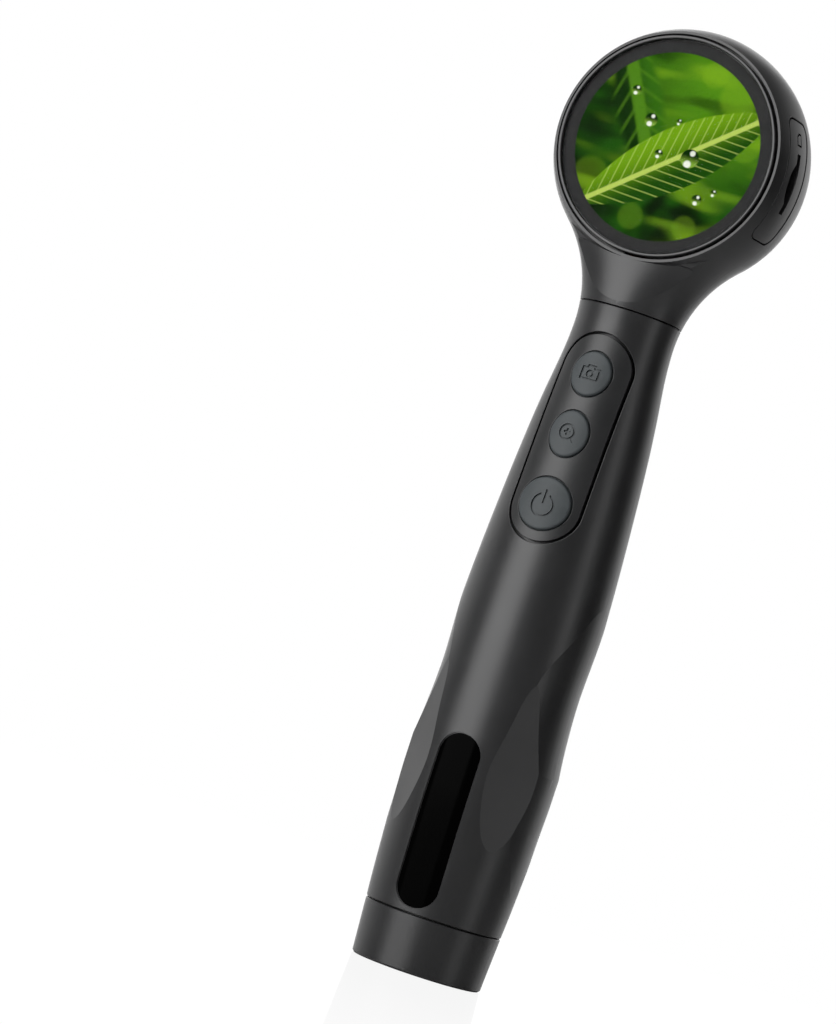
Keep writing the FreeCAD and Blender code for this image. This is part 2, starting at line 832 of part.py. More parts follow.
def head_shell():
    shaped = head_blank().cut(chin_waste())
    far = head_radius + 20
    shaped = shaped.cut(box(-far, far, -far, -front_plane, 0, head_height + far))
    shaped = shaped.cut(box(-far, far, rear_split, far, seam_height, head_height + far))
    inner = head_radius - wall
    cavity = Part.makeSphere(inner, V(0, 0, head_height))
    cavity = cavity.cut(box(-far, far, -far, -front_plane + front_bore_depth, 0, head_height + far))
    shell = shaped.cut(cavity)
    shell = shell.cut(rod_y(front_bore, -front_plane - 1, -front_plane + front_bore_depth + 0.01))
    shell = shell.cut(rod_y(bezel_bore, -front_plane - 1, bezel_seat))
    shell = shell.cut(rod_z(neck_bore, seam_height - 1, head_height - inner + 4))
    columns = []
    for x, z in column_places():
        columns.append(rod_y(column_radius, board_back, rear_split, x, z))
    columns = Part.makeCompound(columns).common(Part.makeSphere(inner + 0.5, V(0, 0, head_height)))
    shell = shell.fuse(columns)
    for x, z in column_places():
        deep = board_back + board_screw_depth + 2
        shell = shell.cut(rod_y(board_screw + screw_clearance, board_back - 1, deep, x, z))
        deep = rear_split - cover_screw_depth - 1
        shell = shell.cut(rod_y(cover_screw + screw_clearance, deep, rear_split + 1, x, z))
    for side in (1, -1):
        pocket = port_outline(side, port_gap, port_back, head_radius + 1)
        shell = shell.cut(pocket)
        rim = [e for e in shell.Edges if on_sphere(e, head_radius) and round_port(e, side)]
        shell = shell.makeFillet(port_edge, rim)
    shell = shell.cut(card_slot(0.3)).cut(usb_hole(usb_clearance + 0.3))
    return shell.cut(neck_screw(neck_screw_heights()[1], 0.1)).removeSplitter()


def port_plate(side):
    plate = port_outline(side, 0, port_back, port_face)
    return plate.makeFillet(port_edge, [e for e in plate.Edges if on_sphere(e, port_face)])


def nail_scoop():
    half = scoop_length / 2
    radius = (half ** 2 + scoop_reach ** 2) / (2 * scoop_reach)
    edge = -card_plane - card_slot_width / 2 - scoop_reach
    outer = head_radius - scoop_depth
    cutter = rod_x(radius, outer - 0.6, head_radius + 2, edge + radius, head_height)
    cutter = cutter.common(box(0, head_radius + 3, -head_radius, -card_plane, 0, head_height + 40))
    return cutter.cut(Part.makeSphere(outer, V(0, 0, head_height)))


# A plain card outline with one cut corner, sunk into the plate above the slot
def card_mark():
    y, z = -card_plane, head_height + card_mark_rise
    wide, tall = card_mark_size
    across, down = card_mark_cut
    corners = [(-wide / 2, -tall / 2), (wide / 2, -tall / 2), (wide / 2, tall / 2),
               (-wide / 2 + across, tall / 2), (-wide / 2, tall / 2 - down)]

    def prism(share):
        ring = [V(0, y + a * share, z + b * share) for a, b in corners]
        return Part.Face(Part.makePolygon(ring + ring[:1])).extrude(V(head_radius + 2, 0, 0))

    frame = prism(1.0).cut(prism(1 - 2 * card_mark_line / wide))
    return frame.cut(Part.makeSphere(port_face - icon_depth, V(0, 0, head_height)))


def card_port_plate():
    return port_plate(1).cut(card_slot(0)).cut(nail_scoop()).cut(card_mark())


def usb_port_plate():
    return port_plate(-1).cut(usb_hole(usb_clearance))


def card_socket():
    inner = head_radius - wall
    edge = sqrt(inner ** 2 - (card_plane + 1) ** 2 - (card_length / 2) ** 2) - 0.4
    half = card_length / 2
    body = box(edge - socket_depth, edge, board_back, board_back + socket_height, head_height - half,
               head_height + half)
    slot = box(edge - socket_depth + 1.2, edge + 1, -card_plane - 0.45, -card_plane + 0.45,
               head_height - 5.7, head_height + 5.7)
    return body.cut(slot)


def usb_socket():
    inner = head_radius - wall
    edge = -(sqrt(inner ** 2 - usb_plane() ** 2 - (usb_length / 2) ** 2) - 0.3)
    flat = usb_length / 2 - usb_height / 2
    z, y = head_height, usb_plane()

    def capsule(half_height, x0, x1):
        shape = box(x0, x1, y - half_height, y + half_height, z - flat, z + flat)
        for end in (z - flat, z + flat):
            shape = shape.fuse(rod_x(half_height, x0, x1, y, end))
        return shape

    outer = capsule(usb_height / 2, edge, edge + usb_depth)
    hollow = capsule(usb_height / 2 - 0.3, edge - 1, edge + usb_depth - 1.2)
    tongue = box(edge + 0.8, edge + usb_depth - 1.0, y - 0.35, y + 0.35, z - 2.9, z + 2.9)
    return outer.cut(hollow).fuse(tongue)


# Display stack

def display_bezel():
    def at(r, y):
        return V(r, y, head_height)

    ledge = panel_radius + tray_clearance
    bend = lip_round * (1 - sqrt(0.5))
    edges = [line(at(ledge, bezel_seat), at(bezel_radius, bezel_seat)),
             line(at(bezel_radius, bezel_seat), at(bezel_radius, lip_top + lip_round)),
             arc(at(bezel_radius, lip_top + lip_round), at(bezel_radius - bend, lip_top + bend),
                 at(bezel_radius - lip_round, lip_top)),
             line(at(bezel_radius - lip_round, lip_top), at(lip_radius + lip_round, lip_top)),
             arc(at(lip_radius + lip_round, lip_top), at(lip_radius + bend, lip_top + bend),
                 at(lip_radius, lip_top + lip_round)),
             line(at(lip_radius, lip_top + lip_round), at(lip_radius, mask_back)),
             line(at(lip_radius, mask_back), at(ledge, mask_back)),
             line(at(ledge, mask_back), at(ledge, bezel_seat))]
    return turned_y(edges)


def display_glass():
    r = lip_radius - glass_clearance
    return turned_y(outline_y([(0, glass_top), (r - 0.15, glass_top), (r, glass_top + 0.15),
                               (r, glass_back), (0, glass_back)]))


def display_mask():
    return tube_y(lip_radius - glass_clearance, screen_radius, glass_back, mask_back)


def lcd_panel():
    return rod_y(panel_radius, mask_back, cell_back)


def lcd_backlight():
    return rod_y(panel_radius, cell_back, tray_front)


def display_tray():
    outer = front_bore - tray_clearance
    floor = rod_y(outer, tray_front, tray_back)
    rim = tube_y(outer, panel_radius + tray_clearance, bezel_seat, tray_front)
    tray = floor.fuse(rim)
    for turn in (0, pi / 2, pi, 3 * pi / 2):
        x, z = pad_circle * cos(turn), head_height + pad_circle * sin(turn)
        tray = tray.fuse(rod_y(pad_radius, tray_back, board_front, x, z))
    return tray.cut(box(-4, 4, tray_front - 0.01, tray_back + 1, head_height - outer - 1,
                        head_height - outer + 5))


def main_board():
    board = rod_y(board_radius, board_front, board_back)
    for x, z in column_places():
        board = board.cut(rod_y(board_screw + 2 * screw_clearance, board_front - 1, board_back + 1, x, z))
    return board


def board_screws():
    solids = []
    for x, z in column_places():
        head = rod_y(board_screw_head, board_front - board_head_height, board_front, x, z)
        solids.append(head.fuse(rod_y(board_screw, board_front, board_back + board_screw_depth, x, z)))
    return Part.makeCompound(solids)


def processor_shield():
    low = head_height - shield_drop
    return box(-shield_width / 2, shield_width / 2, board_back, board_back + shield_thickness, low,
               low + shield_height)


def image_sensor():
    half = sensor_size / 2
    return box(-half, half, board_back, board_back + sensor_thickness, head_height - half,
               head_height + half)


# Focusing optics

def lens_mount():
    base = rod_y(mount_radius + 1.0, board_back, board_back + 1.5)
    tube = rod_y(mount_radius, board_back, 12.0)
    body = base.fuse(tube).cut(rod_y(barrel_radius + running_clearance, -0.5, 13.0))
    return body.cut(rod_y(barrel_radius - 0.3, board_back - 1, 0))


def lens_barrel():
    body = turned_y(outline_y([
        (barrel_bore, 2.0), (barrel_radius, 2.0), (barrel_radius, flange_start),
        (flange_radius, flange_start), (flange_radius, flange_end), (nose_radius, flange_end),
        (nose_radius, nose_end - 0.5), (nose_radius - 0.5, nose_end), (barrel_bore, nose_end)]))
    for side in (1, -1):
        z0 = head_height + side * (flange_radius - 0.5)
        pin = Part.makeCylinder(pin_radius, pin_reach - flange_radius + 0.5, V(0, pin_height, z0),
                                V(0, 0, side))
        body = body.fuse(pin)
    return body


def lens_disc(y0, y1, bulge):
    r = barrel_bore - 0.05
    curve = (r ** 2 + bulge ** 2) / (2 * bulge)
    disc = rod_y(r, y0 - bulge - 1, y1 + bulge + 1)
    for y in (y1 + bulge - curve, y0 - bulge + curve):
        disc = disc.common(Part.makeSphere(curve, V(0, y, head_height)))
    return disc


def front_lens():
    return lens_disc(nose_end - 3.0, nose_end - 1.6, 0.8)


def rear_lens():
    return lens_disc(4.0, 5.5, 0.7)


def rear_cover():
    start = rear_split + 0.15
    inner = head_radius - wall

    def on(radius, y):
        return V(sqrt(radius ** 2 - y ** 2), y, head_height)

    mid_out, mid_in = (start + rear_plane) / 2, (start + rear_plane - wall) / 2
    hub = hub_bore + hub_wall
    floor = rear_plane - wall
    corners = [on(head_radius, rear_plane), V(hub, rear_plane, head_height),
               V(hub, hub_end, head_height), V(hub_bore, hub_end, head_height),
               V(hub_bore, floor, head_height), on(inner, floor)]
    edges = [arc(on(head_radius, start), on(head_radius, mid_out), corners[0])]
    edges += [line(a, b) for a, b in zip(corners, corners[1:])]
    edges += [arc(on(inner, floor), on(inner, mid_in), on(inner, start)),
              line(on(inner, start), on(head_radius, start))]
    cover = turned_y(edges)
    slot = pin_radius + 0.15
    reach = focus_travel + 0.15
    for side in (1, -1):
        z0, z1 = sorted((head_height + side * (hub_bore - 2), head_height + side * (hub + 0.1)))
        cover = cover.cut(box(-slot, slot, pin_height - reach, pin_height + reach, z0, z1))
        for y in (pin_height - reach, pin_height + reach):
            cover = cover.cut(rod_z(slot, z0, z1, 0, y))
    for x, z in column_places():
        seat = rear_split + cover_head_drop
        cover = cover.cut(rod_y(cover_screw + 2 * screw_clearance, rear_split - 1, seat + 1, x, z))
        cover = cover.cut(rod_y(cover_screw_head + 4 * screw_clearance, seat, hub_end, x, z))
    return cover


def cover_screws():
    solids = []
    for x, z in column_places():
        seat = rear_split + cover_head_drop
        top = seat + cover_head_height
        head = rod_y(cover_screw_head, seat, top, x, z)
        shank = rod_y(cover_screw, rear_split - cover_screw_depth, seat, x, z)
        slot = box(-cover_screw_head - 0.1, cover_screw_head + 0.1, top - 0.5, top + 1, -0.25, 0.25)
        slot.translate(V(x, 0, z))
        solids.append(head.fuse(shank).cut(slot))
    return Part.makeCompound(solids)


# The helical grooves inside the ring that push the lens pins along as it turns
def cam_groove(start):
    pitch = 4 * focus_travel
    extra = 8.0
    span = 180 + 2 * extra
    height = pitch * span / 360
    radius = ring_bore + groove_depth / 2
    helix = Part.makeHelix(pitch, height, radius)
    half = pin_radius + 0.12
    inner, outer = ring_bore - 0.6, ring_bore + groove_depth
    section = Part.makePolygon([V(inner, 0, -half), V(outer, 0, -half), V(outer, 0, half),
                                V(inner, 0, half), V(inner, 0, -half)])
    groove = Part.Wire(helix).makePipeShell([section], True, True)
    groove.rotate(V(0, 0, 0), V(0, 0, 1), start - 90 - extra)
    groove.translate(V(0, 0, -height / 2))
    groove.rotate(V(0, 0, 0), V(1, 0, 0), -90)
    groove.translate(V(0, pin_height, head_height))
    return groove


def focus_ring():
    outer = ring_bore + ring_wall
    chamfer = 0.5
    ring = turned_y(outline_y([
        (ring_bore, ring_start), (outer - chamfer, ring_start), (outer, ring_start + chamfer),
        (outer, ring_end - chamfer), (outer - chamfer, ring_end), (ring_bore, ring_end)]))
    for start in (90, 270):
        ring = ring.cut(cam_groove(start))
    for i in range(knurls):
        turn = 2 * pi * (i + 0.5) / knurls
        x, z = outer * cos(turn), head_height + outer * sin(turn)
        ring = ring.cut(rod_y(knurl_radius, ring_start - 1, ring_end + 1, x, z))
    return ring


def lens_hood():
    outer = hub_bore + hood_wall
    rim = ring_bore + ring_wall - 0.8
    bore = hub_bore + 0.05
    step = bore - 0.9
    return turned_y(outline_y([
        (hub_bore - 0.6, hub_end), (rim, hub_end), (rim, hood_base), (outer, hood_base),
        (outer - hood_taper, hood_end), (bore - 0.2, hood_end), (bore, window_start),
        (step, window_start), (step, lamp_back), (bore, lamp_back), (bore, hood_base),
        (hub_bore - 0.6, hood_base)]))


def lamp_board():
    return tube_y(hub_bore - 0.05, lamp_hole, hood_base, lamp_back)


def lamps():
    solids = []
    half = lamp_size / 2
    circle = (hub_bore + lamp_hole) / 2
    for i in range(lamp_count):
        lamp = box(circle - half, circle + half, lamp_back, lamp_back + lamp_height, -half, half)
        lamp.translate(V(0, 0, head_height))
        lamp.rotate(V(0, 0, head_height), V(0, 1, 0), 360 * (i + 0.5) / lamp_count)
        solids.append(lamp)
    return Part.makeCompound(solids)


def lamp_window():
    return tube_y(hub_bore - 0.05, lamp_hole, window_start, window_end)


# Wiring

def key_flex():
    top = bore_narrows - 1.0
    back = -key_board_front + key_board_thickness
    rear = -flex_plane
    foot = head_height - board_radius
    t = flex_thickness
    points = [(back, top - 5), (back, top - 1.5), (rear, top + 4.0), (rear, foot - 5.0),
              (board_back, foot + 0.6), (board_back, foot + 4.0), (board_back + t, foot + 4.0),
              (board_back + t, foot + 0.5), (rear + t, foot - 5.1), (rear + t, top + 3.9),
              (back + t, top - 1.6), (back + t, top - 5)]
    ring = [V(-flex_width / 2, y, z) for y, z in points]
    return Part.Face(Part.makePolygon(ring + ring[:1])).extrude(V(flex_width, 0, 0))


# A round wire through points, straight runs joined by tangent arcs
def wire_tube(points, radius, bend):
    edges = []
    last = points[0]
    for before, corner, after in zip(points, points[1:], points[2:]):
        into = (before - corner).normalize()
        out = (after - corner).normalize()
        turn = into.getAngle(out)
        cut = bend / abs(sin(turn / 2) / cos(turn / 2))
        a, b = corner + into * cut, corner + out * cut
        half = (into + out).normalize()
        middle = corner + half * (bend / sin(turn / 2) - bend)
        edges.append(line(last, a))
        edges.append(arc(a, middle, b))
        last = b
    edges.append(line(last, points[-1]))
    start = (points[1] - points[0]).normalize()
    circle = Part.Wire(Part.makeCircle(radius, points[0], start))
    return Part.Wire(edges).makePipeShell([circle], True, False)


def power_leads():
    low = battery_base + battery_length + nub_height + contact_plate
    foot = head_height - board_radius
    solids = []
    for x in (-lead_side, lead_side):
        points = [V(x, lead_back, low), V(x, lead_back, low + holder_thickness + 6),
                  V(x, 3.0, bore_narrows), V(x, 3.0, foot - 3),
                  V(x * 1.6, board_back + lead_radius + 0.05, foot + 2.5)]
        solids.append(wire_tube(points, lead_radius, lead_bend))
    return Part.makeCompound(solids)


def write(name, shape):
    shape.exportStep("parts/" + name + ".step")
    print(name, len(shape.Solids), round(shape.Volume, 1), shape.isValid())


write("head_shell", head_shell())
write("display_bezel", display_bezel())
write("display_glass", display_glass())
write("display_mask", display_mask())
write("lcd_panel", lcd_panel())
write("lcd_backlight", lcd_backlight())
write("display_tray", display_tray())
write("main_board", main_board())
write("board_screws", board_screws())
write("processor_shield", processor_shield())
write("image_sensor", image_sensor())
write("card_socket", card_socket())
write("usb_socket", usb_socket())
write("card_port_plate", card_port_plate())
write("usb_port_plate", usb_port_plate())
write("lens_mount", lens_mount())
write("lens_barrel", lens_barrel())
write("front_lens", front_lens())
write("rear_lens", rear_lens())
write("rear_cover", rear_cover())
write("cover_screws", cover_screws())
write("focus_ring", focus_ring())
write("lens_hood", lens_hood())
write("lamp_board", lamp_board())
write("lamps", lamps())
write("lamp_window", lamp_window())
write("neck_coupler", neck_coupler())
write("neck_screws", neck_screws())
write("handle_shell", handle_shell())
write("button_panel", button_panel())
for place in buttons():
    write(place[0] + "_button", button(*place))
    write(place[0] + "_plunger", plunger(*place))
write("key_board", key_board())
write("key_switches", key_switches())
write("key_screws", key_screws())
write("key_flex", key_flex())
write("badge_inlay", badge_inlay())
write("battery_cell", battery_cell())
write("battery_sleeve", battery_sleeve())
write("contact_holder", contact_holder())
write("positive_contact", positive_contact())
write("power_leads", power_leads())
write("tail_cap", tail_cap())
write("tail_seal", tail_seal())
write("tail_contact_disc", tail_contact_disc())
write("tail_spring", tail_spring())
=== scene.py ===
import math

import bmesh
import bpy
from mathutils import Matrix, Vector


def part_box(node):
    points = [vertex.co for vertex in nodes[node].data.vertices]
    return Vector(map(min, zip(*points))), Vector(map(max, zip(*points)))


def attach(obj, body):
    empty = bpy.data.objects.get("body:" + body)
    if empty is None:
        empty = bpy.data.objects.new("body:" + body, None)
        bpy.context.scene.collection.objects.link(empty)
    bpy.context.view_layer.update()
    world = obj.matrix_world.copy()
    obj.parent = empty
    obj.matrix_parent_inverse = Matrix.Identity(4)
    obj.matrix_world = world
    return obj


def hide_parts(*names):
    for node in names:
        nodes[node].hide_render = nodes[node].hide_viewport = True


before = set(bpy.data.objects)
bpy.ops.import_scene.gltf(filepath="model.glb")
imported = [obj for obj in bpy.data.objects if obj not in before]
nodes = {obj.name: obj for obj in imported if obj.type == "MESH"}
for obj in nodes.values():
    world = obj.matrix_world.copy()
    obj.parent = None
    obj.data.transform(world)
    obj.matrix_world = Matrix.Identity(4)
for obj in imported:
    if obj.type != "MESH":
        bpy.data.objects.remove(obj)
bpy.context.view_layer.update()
mm = 0.001

glassLow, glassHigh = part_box("display_glass")
headCentre = (glassLow + glassHigh) / 2         # middle of the display
print("frame loaded,", len(nodes), "pieces")


# Colours are sRGB hex values, turned to linear here
def linear(hexColour):
    channels = [int(hexColour[i:i + 2], 16) / 255 for i in (1, 3, 5)]
    return tuple(c / 12.92 if c <= 0.04045 else ((c + 0.055) / 1.055) ** 2.4 for c in channels) + (1.0,)


# Adds a node, sets its properties, and fills its inputs by place or by name with values or other nodes
def addNode(tree, kind, inputs=(), **settings):
    node = tree.nodes.new("ShaderNode" + kind)
    for name, value in settings.items():
        setattr(node, name, value)
    pairs = inputs.items() if isinstance(inputs, dict) else enumerate(inputs)
    for place, value in pairs:
        if isinstance(value, bpy.types.Node):
            value = value.outputs[0]
        if isinstance(value, bpy.types.NodeSocket):
            tree.links.new(value, node.inputs[place])
        elif value is not None:
            node.inputs[place].default_value = value
    return node


# Most of a noise texture's values fall in the first range; the second takes only its upper part, for smears
noiseRange = (0.3, 0.7)
smearRange = (0.4, 0.75)
soft = dict(interpolation_type="SMOOTHSTEP")    # a map range with eased ends


def newMaterial(name):
    material = bpy.data.materials.new(name)
    material.use_nodes = True
    material.node_tree.nodes.clear()
    return material, material.node_tree


def dress(material, *names):
    for name in names:
        nodes[name].data.materials.clear()
        nodes[name].data.materials.append(material)


# Places on the head in millimetres from the middle of the display, x to the right and z up
def headPlace(tree):
    place = addNode(tree, "TexCoord").outputs["Object"]
    return addNode(tree, "Mapping", {"Vector": place, "Location": (0, 0, -headCentre.z / mm),
                                     "Scale": (1 / mm, 0, 1 / mm)})


# Moulded plastics, rubbers and films: a fine grain in the surface, and faint mottling of colour and gloss
def mouldedSurface(look):
    material, tree = newMaterial(look["name"])
    place = addNode(tree, "TexCoord").outputs["Object"]
    grain = addNode(tree, "TexNoise", {"Vector": place, "Scale": 1 / (look["grain"] * mm), "Detail": 3.0})
    mottle = addNode(tree, "TexNoise", {"Vector": place, "Scale": 1 / (look["mottle"] * mm), "Detail": 4.0})
    tone = addNode(tree, "MapRange", [mottle, *noiseRange, 0.0, 1.0])
    colour = addNode(tree, "MixRGB", [tone, linear(look["dark"]), linear(look["pale"])])
    roughest, smoothest = look["rough"] + look["rub"], look["rough"] - look["rub"]
    gloss = addNode(tree, "MapRange", [mottle, *noiseRange, smoothest, roughest])
    bump = addNode(tree, "Bump", {"Strength": look["bump"], "Distance": look["depth"] * mm,
                                  "Height": grain})
    shader = addNode(tree, "BsdfPrincipled", {"Base Color": colour, "Roughness": gloss, "Normal": bump,
                                              "IOR": look["ior"], "Specular IOR Level": look["shine"]})
    addNode(tree, "OutputMaterial", [shader])
    return material


# ABS, injection moulded in a spark-eroded tool: a dark satin skin that spreads its highlights
mouldedAbs = dict(name="mouldedAbs", dark="#1b1b1c", pale="#1f1f20", grain=0.25, mottle=9.0, bump=0.2,
                  depth=0.02, rough=0.36, rub=0.02, ior=1.53, shine=0.5)

# The same ABS from a smoother tool: the rings look a little glossier
satinAbs = dict(mouldedAbs, name="satinAbs", dark="#19191a", pale="#1d1d1e", bump=0.1, rough=0.3)

# The same ABS from a rougher eroded tool: the button panel is a little more matt than the case
panelAbs = dict(mouldedAbs, name="panelAbs", dark="#191a1b", pale="#1e1e1f", rough=0.42)

# Silicone rubber, moulded: blue-grey keys, soft and matt
siliconeKey = dict(mouldedAbs, name="siliconeKey", dark="#373c3e", pale="#3d4244", mottle=3.0,
                   rough=0.5, rub=0.03, ior=1.41)

# Nitrile rubber, moulded: dead black and matt
nitrileRubber = dict(mouldedAbs, name="nitrileRubber", dark="#141414", pale="#1a1a1a", rough=0.7, rub=0.05)

# Ink, screen printed on the back of the cover glass: an even dark grey, seen through the glass
printedInk = dict(mouldedAbs, name="printedInk", dark="#29292a", pale="#2c2c2c", bump=0.02,
                  rough=0.6, shine=0.1)

# Polyester film, calendered: plain white behind the screen
whiteFilm = dict(mouldedAbs, name="whiteFilm", dark="#d4d5d4", pale="#e0e1df", rough=0.4)

# Solder mask over glass fibre, screen printed: dark green with a low gloss
solderMask = dict(mouldedAbs, name="solderMask", dark="#0c3a1f", pale="#145030", grain=0.4, mottle=2.2,
                  rough=0.35, rub=0.08)

# Polyimide flexible circuit, laminated: amber and slightly glossy
polyimideFilm = dict(mouldedAbs, name="polyimideFilm", dark="#8a4a12", pale="#a55d1b", mottle=2.0,
                     rough=0.3)

# PVC insulation, extruded: even red with a waxy gloss
wirePvc = dict(mouldedAbs, name="wirePvc", dark="#8e1410", pale="#a61d16", mottle=3.0, rough=0.35)

# PVC sleeve, shrunk over the steel can of the cell: blue with a soft gloss
shrinkPvc = dict(mouldedAbs, name="shrinkPvc", dark="#1b4a86", pale="#23579a", mottle=6.0, rough=0.3)

dress(mouldedSurface(mouldedAbs), "head_shell", "handle_shell", "tail_cap", "rear_cover", "lens_hood",
      "card_port_plate", "usb_port_plate")
dress(mouldedSurface(satinAbs), "display_bezel", "focus_ring", "lens_mount", "display_tray", "neck_coupler",
      "battery_sleeve", "contact_holder")
dress(mouldedSurface(panelAbs), "button_panel")
dress(mouldedSurface(siliconeKey), "camera_button", "zoom_button", "power_button")
dress(mouldedSurface(nitrileRubber), "tail_seal", "camera_plunger", "zoom_plunger", "power_plunger")
inkSurface = mouldedSurface(printedInk)
dress(inkSurface, "display_mask", "image_sensor")
dress(mouldedSurface(whiteFilm), "lcd_backlight")
dress(mouldedSurface(solderMask), "main_board", "key_board", "lamp_board")
dress(mouldedSurface(polyimideFilm), "key_flex")
dress(mouldedSurface(wirePvc), "power_leads")
dress(mouldedSurface(shrinkPvc), "battery_cell")
print("plastics and rubbers dressed")


# Metals: lathe or rolling marks as a fine stretched grain, and patchy gloss
def metalSurface(look):
    material, tree = newMaterial(look["name"])
    place = addNode(tree, "TexCoord").outputs["Object"]
    fine = 1 / (look["marks"] * mm)
    stretched = addNode(tree, "Mapping", {"Vector": place, "Scale": [fine * s for s in look["stretch"]]})
    marks = addNode(tree, "TexNoise", {"Vector": stretched, "Scale": 1.0, "Detail": 2.0})
    patches = addNode(tree, "TexNoise", {"Vector": place, "Scale": 1 / (look["patch"] * mm)})
    roughest, smoothest = look["rough"] + look["rub"], look["rough"] - look["rub"]
    gloss = addNode(tree, "MapRange", [patches, *noiseRange, smoothest, roughest])
    colour = addNode(tree, "MixRGB", [patches, linear(look["dark"]), linear(look["pale"])])
    bump = addNode(tree, "Bump", {"Strength": look["bump"], "Distance": look["depth"] * mm,
                                  "Height": marks})
    shader = addNode(tree, "BsdfPrincipled", {"Base Color": colour, "Metallic": look["metallic"],
                                              "Roughness": gloss, "Normal": bump})
    addNode(tree, "OutputMaterial", [shader])
    return material


# Zinc-plated steel, pressed and turned: pale blue-grey with soft marks
zincSteel = dict(name="zincSteel", dark="#a9adb3", pale="#c6c9cd", metallic=1.0, rough=0.32, rub=0.05,
                 marks=0.1, stretch=(1, 0.2, 1), patch=1.5, bump=0.3, depth=0.01)

# Spring steel, drawn: brighter, with marks along the wire
springSteel = dict(zincSteel, name="springSteel", dark="#8d8f92", pale="#b4b6b9", rough=0.25)

# Gold-plated brass, pressed: warm and clean
goldPlate = dict(zincSteel, name="goldPlate", dark="#b98a3a", pale="#d7aa55", rough=0.25)

# Aluminium, turned and black anodised: near black, with a dull metal sheen and lathe rings
blackAnodised = dict(zincSteel, name="blackAnodised", dark="#232325", pale="#2c2c2f", metallic=0.85,
                     rough=0.38, stretch=(0.1, 1, 0.1))

dress(metalSurface(zincSteel), "board_screws", "cover_screws", "neck_screws", "key_screws",
      "processor_shield", "card_socket", "usb_socket", "key_switches")
dress(metalSurface(springSteel), "tail_spring")
dress(metalSurface(goldPlate), "positive_contact", "tail_contact_disc")
dress(metalSurface(blackAnodised), "lens_barrel")
print("metals dressed")

# Acrylic, cast and polished: the bare black inlay, a clear coat over deep black with faint wiping marks
pianoAcrylic = dict(base="#020202", rough=0.08, smearRough=0.16, ior=1.49, shine=0.01, smear=6.0)
material, tree = newMaterial("pianoAcrylic")
place = addNode(tree, "TexCoord").outputs["Object"]
smears = addNode(tree, "TexNoise", {"Vector": place, "Scale": 1 / (pianoAcrylic["smear"] * mm),
                                    "Detail": 6.0})
gloss = addNode(tree, "MapRange", [smears, *smearRange, pianoAcrylic["rough"], pianoAcrylic["smearRough"]])
shader = addNode(tree, "BsdfPrincipled", {"Base Color": linear(pianoAcrylic["base"]), "Roughness": gloss,
                                          "IOR": pianoAcrylic["ior"],
                                          "Specular IOR Level": pianoAcrylic["shine"]})
addNode(tree, "OutputMaterial", [shader])
dress(material, "badge_inlay")

# Toughened glass, polished, with a coat against glare: clear, with only a faint reflection
coverGlass = dict(tint="#050505", seen=0.06, rough=0.03, smearRough=0.1, ior=1.52, shine=0.1, smear=5.0)
material, tree = newMaterial("coatedCoverGlass")
place = addNode(tree, "TexCoord").outputs["Object"]
smears = addNode(tree, "TexNoise", {"Vector": place, "Scale": 1 / (coverGlass["smear"] * mm),
                                    "Detail": 5.0})
gloss = addNode(tree, "MapRange", [smears, *smearRange, coverGlass["rough"], coverGlass["smearRough"]])
shader = addNode(tree, "BsdfPrincipled", {"Base Color": linear(coverGlass["tint"]), "Roughness": gloss,
                                          "IOR": coverGlass["ior"],
                                          "Specular IOR Level": coverGlass["shine"],
                                          "Alpha": coverGlass["seen"]})
addNode(tree, "OutputMaterial", [shader])
dress(material, "display_glass")

# Print behind the glass. The CAD ring touches the glass's back face, where two faces in one plane break up
# the colour, so a ring that stands back from the glass is shown for it. Sizes are in millimetres
printRing = dict(opening=20.1, gap=0.04, segments=192)
inkLow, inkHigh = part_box("display_mask")
inner, outer = printRing["opening"] * mm, (inkHigh.x - inkLow.x) / 2
front, rear = inkLow.y + printRing["gap"] * mm, inkHigh.y
mesh = bpy.data.meshes.new("printedRing")
shape = bmesh.new()
angles = [2 * math.pi * i / printRing["segments"] for i in range(printRing["segments"])]
corners = []
for radius, depth in ((inner, front), (outer, front), (outer, rear), (inner, rear)):
    corners.append([shape.verts.new((radius * math.cos(a), depth, headCentre.z + radius * math.sin(a)))
                    for a in angles])
for i, near in enumerate(corners):
    far = corners[(i + 1) % len(corners)]
    for j in range(len(near)):
        shape.faces.new((near[j - 1], near[j], far[j], far[j - 1]))
bmesh.ops.recalc_face_normals(shape, faces=shape.faces)
shape.to_mesh(mesh)
shape.free()
ring = bpy.data.objects.new("printedRing", mesh)
bpy.context.scene.collection.objects.link(ring)
ring.data.materials.append(inkSurface)
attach(ring, "wand")
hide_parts("display_mask")

# Optical glass, ground and coated: clear, with a thin film that turns its reflections violet and green
opticalGlass = dict(tint="#f2f5f7", ior=1.52, film=480.0, filmIor=1.38, haze=2.0, hazeRough=0.02)
material, tree = newMaterial("opticalGlass")
place = addNode(tree, "TexCoord").outputs["Object"]
haze = addNode(tree, "TexNoise", {"Vector": place, "Scale": 1 / (opticalGlass["haze"] * mm), "Detail": 3.0})
gloss = addNode(tree, "MapRange", [haze, *noiseRange, 0.0, opticalGlass["hazeRough"]])
shader = addNode(tree, "BsdfPrincipled", {"Base Color": linear(opticalGlass["tint"]), "Roughness": gloss,
                                          "IOR": opticalGlass["ior"], "Transmission Weight": 1.0,
                                          "Thin Film Thickness": opticalGlass["film"],
                                          "Thin Film IOR": opticalGlass["filmIor"]})
addNode(tree, "OutputMaterial", [shader])
dress(material, "front_lens", "rear_lens")

